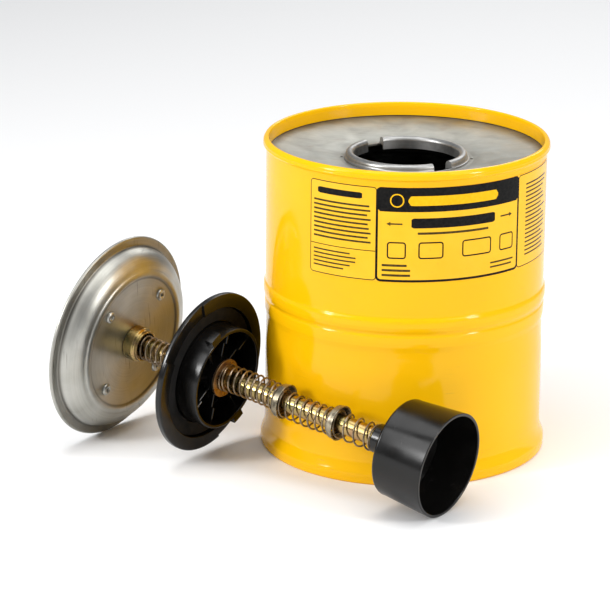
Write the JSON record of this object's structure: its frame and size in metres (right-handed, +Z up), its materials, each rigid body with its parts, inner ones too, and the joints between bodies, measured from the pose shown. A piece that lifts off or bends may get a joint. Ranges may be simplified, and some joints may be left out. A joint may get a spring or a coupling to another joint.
{
  "type": "plunger can",
  "caption": "Painted steel dispensing can with a rolled neck, and its spring-loaded plunger pump lying beside it: dished pan, moulded lid, tube with springs and a foot cup.",
  "frame": {"origin": "on the floor, at the middle of the rectangle that the can and the lying pump cover", "axes": "+Z up along the can; +X from the pump pan towards the can, along the longer side of that rectangle"},
  "size_m": [0.3194, 0.2654, 0.2051],
  "materials": {
    "yellow_paint": "gloss",
    "bare_steel": "satin",
    "brass": "polished",
    "spring_steel": "satin",
    "dull_steel": "dull",
    "plated_steel": "satin",
    "black_plastic": "semi-gloss",
    "seal_rubber": "matte",
    "label_film": "satin"
  },
  "bodies": {
    "can": {"can_shell": "yellow_paint", "bottom_plate": "bare_steel", "top_plate": "bare_steel", "neck_ring": "bare_steel", "label": "label_film"},
    "pump_core": {"lid_bush": "brass", "lid_washer": "brass", "seat_washer": "brass", "upper_spring": "spring_steel", "spring_high": "spring_steel"},
    "lid": {"lid": "black_plastic", "lid_gasket": "seal_rubber"},
    "plunger": {"dasher_pan": "bare_steel", "dasher_screen": "bare_steel", "pan_rivets": "bare_steel", "pan_spacers": "bare_steel", "hub_ferrule": "plated_steel", "nut_washer": "plated_steel", "outlet_nut": "plated_steel", "pump_tube": "brass", "pump_piston": "black_plastic", "ball_stop_pin": "bare_steel"},
    "ball": {"check_ball": "bare_steel"},
    "foot": {"foot_cup": "black_plastic"},
    "high_washer": {"guide_washer_high": "dull_steel", "spring_middle": "spring_steel"},
    "low_washer": {"guide_washer_low": "dull_steel", "spring_low": "spring_steel"}
  },
  "joints": [
    {"name": "pump_lift", "type": "slide", "parent": "can", "child": "pump_core", "axis": [-0.205, -0.3097, 0.9285], "range_m": [0, 0.3]},
    {"name": "lid_turn", "type": "hinge", "parent": "pump_core", "child": "lid", "pos_m": [-0.05633, -0.00356, 0.05722], "axis": [-0.8271, 0.5474, 0.1277], "range_deg": [0, 60]},
    {"name": "plunger_press", "type": "slide", "parent": "pump_core", "child": "plunger", "axis": [0.8271, -0.5474, -0.1277], "range_m": [0, 0.014], "stiffness_N_per_m": 700, "springref_m": -0.012, "deforming": ["upper_spring"]},
    {"name": "ball_lift", "type": "slide", "parent": "plunger", "child": "ball", "axis": [-0.8271, 0.5474, 0.1277], "range_m": [0, 0.002]},
    {"name": "foot_press", "type": "slide", "parent": "pump_core", "child": "foot", "axis": [-0.8271, 0.5474, 0.1277], "range_m": [0, 0.008], "stiffness_N_per_m": 500, "springref_m": -0.012},
    {"name": "high_washer_slide", "type": "slide", "parent": "pump_core", "child": "high_washer", "axis": [-0.8271, 0.5474, 0.1277], "range_m": [0, 0.00267], "deforming": ["spring_high"]},
    {"name": "low_washer_slide", "type": "slide", "parent": "pump_core", "child": "low_washer", "axis": [-0.8271, 0.5474, 0.1277], "range_m": [0, 0.00534], "deforming": ["spring_middle", "spring_low"]}
  ],
  "couplings": [
    {"joint": "high_washer_slide", "follows": "foot_press", "ratio": 0.3333},
    {"joint": "low_washer_slide", "follows": "foot_press", "ratio": 0.6667}
  ]
}
